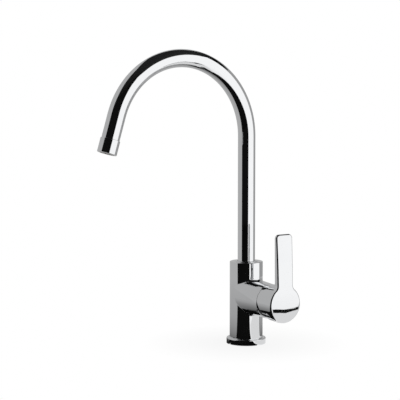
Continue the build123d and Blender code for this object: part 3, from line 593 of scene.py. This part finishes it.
# %% The threads
THREAD_LENGTH = 13.0 * MM
THREAD_PITCH = 1.0 * MM
THREAD_DEPTH = 0.45 * MM
INLET_RADIUS = 4.5 * MM
INLET_X = 4.0 * MM
INLET_Y = 8.0 * MM
STUD_RADIUS = 3.4 * MM
STUD_X = -11.0 * MM
shared_sizes = {"Depth": THREAD_DEPTH, "Length": THREAD_LENGTH, "Turns": THREAD_LENGTH / THREAD_PITCH}
inlet_holes = {"Radius": INLET_RADIUS, "Centre X": INLET_X, "First Y": -INLET_Y}
inlet_holes.update({"Spacing": 2.0 * INLET_Y, "Holes": 2.0})
stud_hole = {"Radius": STUD_RADIUS, "Centre X": STUD_X, "First Y": 0.0, "Spacing": 0.0, "Holes": 1.0}
for name, hole_sizes in (("inlet_threads", inlet_holes), ("stud_thread_ridge", stud_hole)):
    thread = grow(name, thread_tree, {**shared_sizes, **hole_sizes})
    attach(thread, "tap_body")

# %% [markdown]
# Now the studio. Directions are named from the camera's side: towards it, to its right, and up. A wall
# of the studio is a curved strip round the tap, given by the angles where it starts and ends, and a
# cloth on the floor is a flat outline. None of them is seen by the camera; the chrome alone shows them.

# %% Directions in the studio
CAMERA_SIDE = math.radians(33.73)
TOWARDS_CAMERA = Vector((math.cos(CAMERA_SIDE), -math.sin(CAMERA_SIDE), 0.0))
CAMERA_RIGHT = Vector((math.sin(CAMERA_SIDE), math.cos(CAMERA_SIDE), 0.0))


def studio_point(towards, right, height):
    return TOWARDS_CAMERA * towards + CAMERA_RIGHT * right + Vector((0.0, 0.0, height))


def round_the_tap(angle, distance, height):
    """A point this many degrees to the right of the camera's direction."""
    turn = math.radians(angle)
    return studio_point(distance * math.cos(turn), distance * math.sin(turn), height)


def studio_mesh(name, points, faces, material, seen=False):
    mesh = bpy.data.meshes.new(name)
    mesh.from_pydata([tuple(point) for point in points], [], faces)
    mesh.materials.append(material)
    piece = bpy.data.objects.new(name, mesh)
    scene.collection.objects.link(piece)
    piece.visible_camera = seen
    print("studio piece", name, "has", len(points), "corners")
    return piece


print("the camera's side:", TOWARDS_CAMERA, "its right:", CAMERA_RIGHT)

# %% Walls and cloths
WALL_STEPS = 24


def between(ends, share):
    return ends[0] + (ends[1] - ends[0]) * share


def studio_wall(name, material, distance, low_angles, high_angles, low, highs):
    """A curved wall; its foot, its ends and its sloping top each run between two values."""
    points = []
    for step in range(WALL_STEPS + 1):
        share = step / WALL_STEPS
        points.append(round_the_tap(between(low_angles, share), distance, low))
        points.append(round_the_tap(between(high_angles, share), distance, between(highs, share)))
    faces = [(2 * step, 2 * step + 2, 2 * step + 3, 2 * step + 1) for step in range(WALL_STEPS)]
    return studio_mesh(name, points, faces, material)


def flat_cloth(name, points, material):
    """A cloth on the floor or under the ceiling. It casts no shadow, and only mirrors show it."""
    piece = studio_mesh(name, points, [tuple(range(len(points)))], material)
    piece.visible_shadow = False
    piece.visible_diffuse = False
    return piece


def level_points(outline, height_mm):
    return [studio_point(towards, right, height_mm * MM) for towards, right in outline]


print("a wall is made of", WALL_STEPS, "flat panels")

# %% [markdown]
# Two kinds of cloth dress the studio. A glowing cloth gives an even light, for the softbox and for walls
# that must look the same grey in every direction. A matt cloth only gives back a share of the light that
# falls on it. Black velvet gives back hardly any and draws the dark bands down the chrome. The velvet
# overhead is worn, and not quite as black.

# %% Studio cloths
SOFTBOX_GLOW = 1.1
GREY_GLOW = 0.48
DIM_GLOW = 0.36
VELVET_BLACK = 0.012
WORN_VELVET_BLACK = 0.036


def glowing_cloth(name, strength):
    material = bpy.data.materials.new(name)
    material.use_nodes = True
    tree = material.node_tree
    tree.nodes.remove(tree.nodes["Principled BSDF"])
    glow = Wire(tree).node("ShaderNodeEmission", inputs={"Strength": strength})
    feed(tree.nodes["Material Output"], Surface=glow)
    return material


def matt_cloth(name, level):
    material = bpy.data.materials.new(name)
    material.use_nodes = True
    shader = material.node_tree.nodes["Principled BSDF"]
    shader.inputs["Base Color"].default_value = (level, level, level, 1.0)
    shader.inputs["Roughness"].default_value = 1.0
    shader.inputs["Specular IOR Level"].default_value = 0.0
    return material


VELVET = announce(matt_cloth("black_velvet", VELVET_BLACK))
WORN_VELVET = announce(matt_cloth("worn_velvet", WORN_VELVET_BLACK))
GREY_WALL = announce(glowing_cloth("grey_wall_cloth", GREY_GLOW))
DIM_WALL = announce(glowing_cloth("dim_wall_cloth", DIM_GLOW))
SOFTBOX = announce(glowing_cloth("softbox_cloth", SOFTBOX_GLOW))

# %% [markdown]
# One large softbox stands to the right of the camera and gives the long white bands. Black velvet hangs
# from the camera round to the left. Two grey walls close the rest, and the dimmer one has a strip of
# velvet along its top, which draws the thin dark edge round the arch. The angles were read from the
# photograph: on a round tube each band's edges tell the direction of what it mirrors.

# %% The softbox and the walls
SOFTBOX_DISTANCE = 1.4
SOFTBOX_FOOT_ANGLES = (17.0, 101.0)
SOFTBOX_TOP_ANGLES = (27.0, 101.0)
SOFTBOX_FOOT = -0.72
SOFTBOX_TOPS = (0.98, 1.5)
softbox_edges = (SOFTBOX_FOOT_ANGLES, SOFTBOX_TOP_ANGLES, SOFTBOX_FOOT, SOFTBOX_TOPS)
studio_wall("softbox", SOFTBOX, SOFTBOX_DISTANCE, *softbox_edges)

WALL_DISTANCE = 1.5
STRIP_DISTANCE = 1.49
WALL_FOOT = -0.9
STRIP_FOOT = 1.1
WALL_TOPS = (2.0, 2.0)
VELVET_ANGLES = (-65.0, 30.0)
DIM_ANGLES = (101.0, 170.0)
GREY_ANGLES = (170.0, 295.0)
WALLS = [
    ("velvet_wall", VELVET, WALL_DISTANCE, VELVET_ANGLES, WALL_FOOT),
    ("dim_wall", DIM_WALL, WALL_DISTANCE, DIM_ANGLES, WALL_FOOT),
    ("grey_wall", GREY_WALL, WALL_DISTANCE, GREY_ANGLES, WALL_FOOT),
    ("velvet_high_wall", VELVET, STRIP_DISTANCE, DIM_ANGLES, STRIP_FOOT),
]
for name, cloth, distance, angles, foot in WALLS:
    studio_wall(name, cloth, distance, angles, angles, foot, WALL_TOPS)

# %% [markdown]
# The top of the arch and the upper side of the arm mirror what hangs overhead. A lamp there would break
# up the dark bands, so worn velvet covers most of the ceiling, and grey cloth closes it on the left and
# behind.

# %% The ceilings
CEILING_MM = 1500.0
GREY_CEILING_MM = 1510.0
VELVET_CEILING = [(-1.3, -0.56), (0.0, -0.56), (0.63, -1.36), (1.7, -1.36), (1.7, 1.5), (-1.3, 1.5)]
GREY_CEILING = [(-1.7, -1.7), (1.7, -1.7), (1.7, 0.0), (-1.2, 0.0), (-1.2, 1.5), (-1.7, 1.5)]
flat_cloth("velvet_ceiling", level_points(VELVET_CEILING, CEILING_MM), WORN_VELVET)
flat_cloth("grey_ceiling", level_points(GREY_CEILING, GREY_CEILING_MM), GREY_WALL)

# %% [markdown]
# The lower half of the chrome mirrors the floor, so cloths are laid out there too. A grey sheet behind
# and on the left darkens towards the tap; that darkening is painted shadow, standing for the tap's own
# shadow on the floor, which a glowing cloth can't receive. A white apron before the softbox carries its
# light down to the foot. Several rings of plain cloth could step from grey to grey, but a colour ramp on
# the distance from the tap fades without steps.

# %% Sheets that fade with the distance from the tap
SHEET_RADIUS = 0.6
SHEET_SIDES = 72
GREY_SHEET_ANGLES = (95.0, 295.0)
# The darkest stops near the tap are painted shadow: the tap's own shadow on the floor.
GREY_SHEET_AND_SHADOW_STOPS = [(0.055, 0.02), (0.08, 0.15), (0.15, 0.25), (0.24, 0.33), (0.36, 0.40), (0.95, 0.48)]
APRON_ANGLES = (17.0, 95.0)
APRON_STOPS = [(0.4, 0.92), (1.0, 1.0)]
FADING_SHEET_MM = 0.1


def fade_from_the_tap(tree, radius, stops):
    """A grey that depends on the distance from the tap, as a share of this radius."""
    start = Wire(tree)
    place = start.node("ShaderNodeTexCoord", output="Object")
    distance = start.node("ShaderNodeVectorMath", {"operation": "LENGTH"}, {0: place}, "Value")
    return start.node("ShaderNodeValToRGB", {"stops": stops}, {"Fac": distance / radius})


def fading_cloth(name, strength, stops):
    material = glowing_cloth(name, strength)
    grey = fade_from_the_tap(material.node_tree, SHEET_RADIUS, stops)
    feed(material.node_tree.nodes["Emission"], Color=grey)
    return material


def sector_points(angles, height_mm):
    turns = [between(angles, side / SHEET_SIDES) for side in range(SHEET_SIDES + 1)]
    rim = [round_the_tap(angle, SHEET_RADIUS, height_mm * MM) for angle in turns]
    return [studio_point(0.0, 0.0, height_mm * MM)] + rim


grey_and_shadow_cloth = fading_cloth("grey_sheet_with_painted_shadow", strength=1.0, stops=GREY_SHEET_AND_SHADOW_STOPS)
apron_cloth = fading_cloth("apron_cloth", strength=SOFTBOX_GLOW, stops=APRON_STOPS)
flat_cloth("grey_sheet", sector_points(GREY_SHEET_ANGLES, FADING_SHEET_MM), grey_and_shadow_cloth)
flat_cloth("softbox_apron", sector_points(APRON_ANGLES, FADING_SHEET_MM), apron_cloth)

# %% [markdown]
# The front of the barrel mirrors the floor on the camera's side, where the photograph has a broad black
# band. Velvet on the floor gives it. One offcut beside the tap and one behind it keep the grey sheet out
# of the black: they are painted shadow, black cloth laid where the tap's own shadow falls on the floor.

# %% Velvet on the camera's side
VELVET_FLOOR = [(0.013, -0.027), (0.63, -1.36), (1.37, -0.61), (1.43, 0.46), (0.023, 0.019)]
# These two offcuts are painted shadow: black cloth laid where the tap's own shadow falls on the floor.
SHADOW_CLOTH_BESIDE = [(0.02, -0.03), (0.02, -0.06), (0.0, -0.06), (0.0, -0.035)]
SHADOW_CLOTH_BEHIND = [(-0.05, -0.02), (-0.05, 0.05), (-0.14, 0.06), (-0.14, -0.02)]
VELVET_MM = 0.3
OFFCUT_MM = 0.35
flat_cloth("velvet_floor", level_points(VELVET_FLOOR, VELVET_MM), VELVET)
flat_cloth("painted_shadow_beside", level_points(SHADOW_CLOTH_BESIDE, OFFCUT_MM), VELVET)
flat_cloth("painted_shadow_behind", level_points(SHADOW_CLOTH_BEHIND, OFFCUT_MM), VELVET)

# %% [markdown]
# The hub's round front mirrors a small piece of the floor on the right. A pale sheet lies there and
# makes the front light, and a crooked strip of velvet over its far edge draws the black line across it,
# with a corner of the strip for each bend of the line.

# %% The pale sheet and the dark strip
PALE_SHEET = [
    (0.02, 0.02), (0.15, 0.075), (0.21, 0.24), (0.16, 0.31), (0.16, 0.40),
    (0.0, 0.42), (-0.005, 0.07), (-0.03, 0.05), (-0.03, 0.02),
]
DARK_STRIP = [
    (0.125, 0.22), (0.16, 0.24), (0.215, 0.26), (0.205, 0.35), (0.16, 0.31),
    (0.15, 0.325), (0.165, 0.39), (0.03, 0.47), (0.02, 0.43), (0.13, 0.37), (0.13, 0.285),
]
PALE_GLOW = 0.80
PALE_SHEET_MM = 0.2
DARK_STRIP_MM = 0.4
pale_cloth = glowing_cloth("pale_sheet_cloth", PALE_GLOW)
flat_cloth("pale_sheet", level_points(PALE_SHEET, PALE_SHEET_MM), pale_cloth)
flat_cloth("dark_strip", level_points(DARK_STRIP, DARK_STRIP_MM), VELVET)

# %% [markdown]
# The floor itself is plain and pale. To the camera it is as white as the background, with a share of
# real light left round the foot of the tap, so that the tap keeps its shadow and doesn't seem to float.

# %% The floor's look
FLOOR_RADIUS = 0.6
FLOOR_GREY = 0.8
SHADOW_SHARE = 0.1
SHADOW_STOPS = [(0.0, SHADOW_SHARE), (0.06, SHADOW_SHARE), (0.22, 0.0)]


def sees_background(start):
    """One for a ray from the camera, off a mirror or through glass, and nothing for plain light."""
    camera_ray = start.node("ShaderNodeLightPath", output="Is Camera Ray")
    mirror_ray = start.node("ShaderNodeLightPath", output="Is Glossy Ray")
    glass_ray = start.node("ShaderNodeLightPath", output="Is Transmission Ray")
    return start.math("MINIMUM", camera_ray + mirror_ray + glass_ray, 1.0)


floor_material = matt_cloth("pale_floor", FLOOR_GREY)
tree = floor_material.node_tree
start = Wire(tree)
shown = sees_background(start)
shade = fade_from_the_tap(tree, FLOOR_RADIUS, SHADOW_STOPS)
glow = start.node("ShaderNodeEmission", inputs={"Strength": 1.0})
lit = Wire(tree, tree.nodes["Principled BSDF"].outputs[0])
mix_inputs = {"Fac": shown * (1.0 - shade), 1: lit, 2: glow}
feed(tree.nodes["Material Output"], Surface=start.node("ShaderNodeMixShader", inputs=mix_inputs))
announce(floor_material)

# %% The floor
floor_angles = [360.0 * side / SHEET_SIDES for side in range(SHEET_SIDES)]
floor_points = [round_the_tap(angle, FLOOR_RADIUS, 0.0) for angle in floor_angles]
studio_mesh("floor", floor_points, [tuple(range(SHEET_SIDES))], floor_material, seen=True)

# %% [markdown]
# The world stands for the bare room round the studio. It is white where it is seen, straight or in a
# mirror, and a plain grey where it only lights, so that the white background puts no glare on the tap.

# %% The world
WORLD_GREY = 0.47
world = bpy.data.worlds.new("studio_world")
scene.world = world
world.use_nodes = True
tree = world.node_tree
shown = sees_background(Wire(tree))
grey = (WORLD_GREY, WORLD_GREY, WORLD_GREY)
white = (1.0, 1.0, 1.0)
feed(tree.nodes["Background"], Color=two_colours(shown, grey, white))

# %% [markdown]
